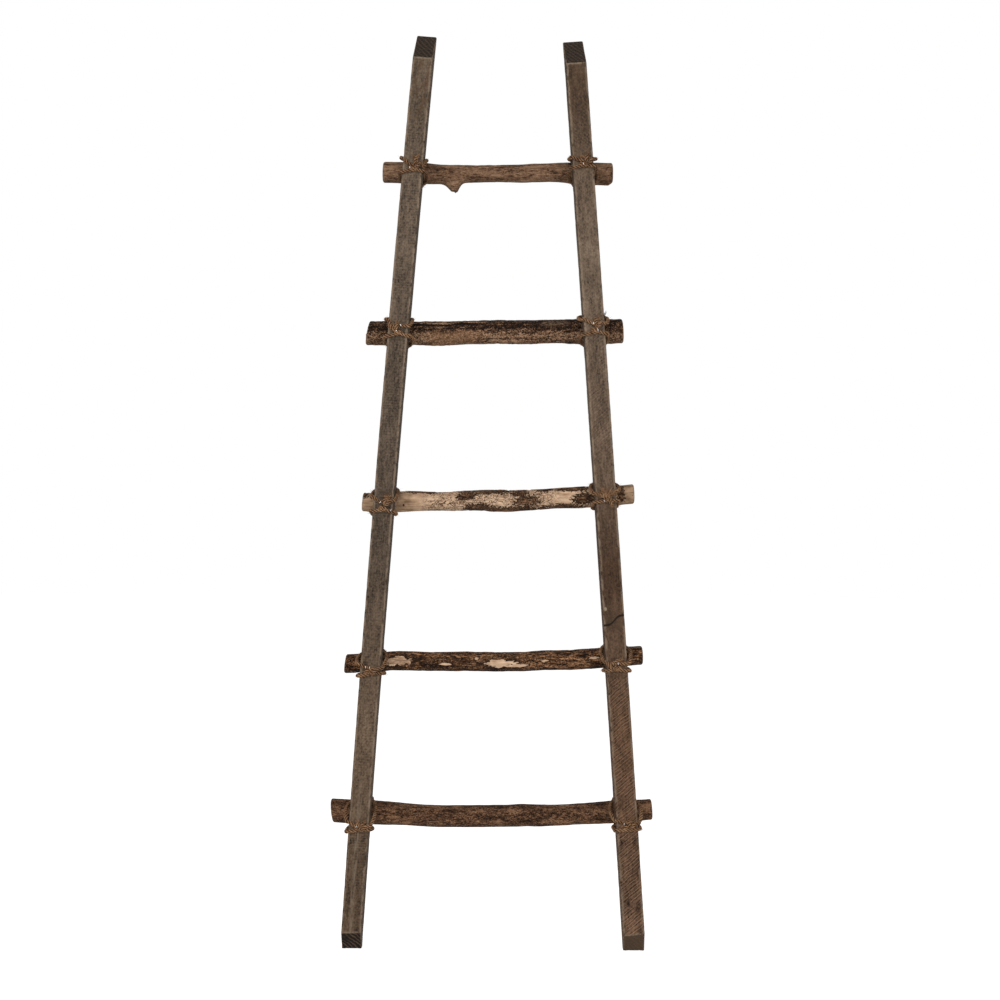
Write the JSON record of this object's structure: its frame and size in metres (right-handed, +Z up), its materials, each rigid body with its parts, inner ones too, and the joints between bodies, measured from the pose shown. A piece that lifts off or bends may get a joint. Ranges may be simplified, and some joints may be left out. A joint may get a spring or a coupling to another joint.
{
  "type": "blanket ladder",
  "caption": "Rustic blanket ladder: two splayed sawn battens with bark-on branch rungs lashed behind them by stapled twine.",
  "frame": {"origin": "on the floor, midway between the feet, in the plane where the rungs lie against the backs of the rails", "axes": "+Z up along the ladder; +Y backward, from the rails' fronts to the rungs behind them; +X to the right as seen from the front"},
  "size_m": [0.5409, 0.1034, 1.5235],
  "materials": {
    "rail_wood_left": "rough sawn, grey-brown stain",
    "rail_wood_right": "rough sawn, brown stain",
    "bark_brown": "fibrous bark",
    "bark_dark": "rough dark bark with tan patches",
    "peeled_pale": "peeled pale wood with bark patches and insect tracks",
    "twine": "twisted brown jute",
    "staple_wire": "bright wire",
    "screw_steel": "plain steel"
  },
  "bodies": {
    "root": {"rail_left": "rail_wood_left", "rail_right": "rail_wood_right", "rung_1": "bark_brown", "rung_2": "bark_dark", "rung_3": "peeled_pale", "rung_4": "bark_dark", "rung_5": "bark_brown", "lashing_1_left": "twine", "lashing_1_right": "twine", "lashing_2_left": "twine", "lashing_2_right": "twine", "lashing_3_left": "twine", "lashing_3_right": "twine", "lashing_4_left": "twine", "lashing_4_right": "twine", "lashing_5_left": "twine", "lashing_5_right": "twine", "twine_staples_left": "staple_wire", "twine_staples_right": "staple_wire", "rung_screws_left": "screw_steel", "rung_screws_right": "screw_steel"}
  },
  "joints": []
}
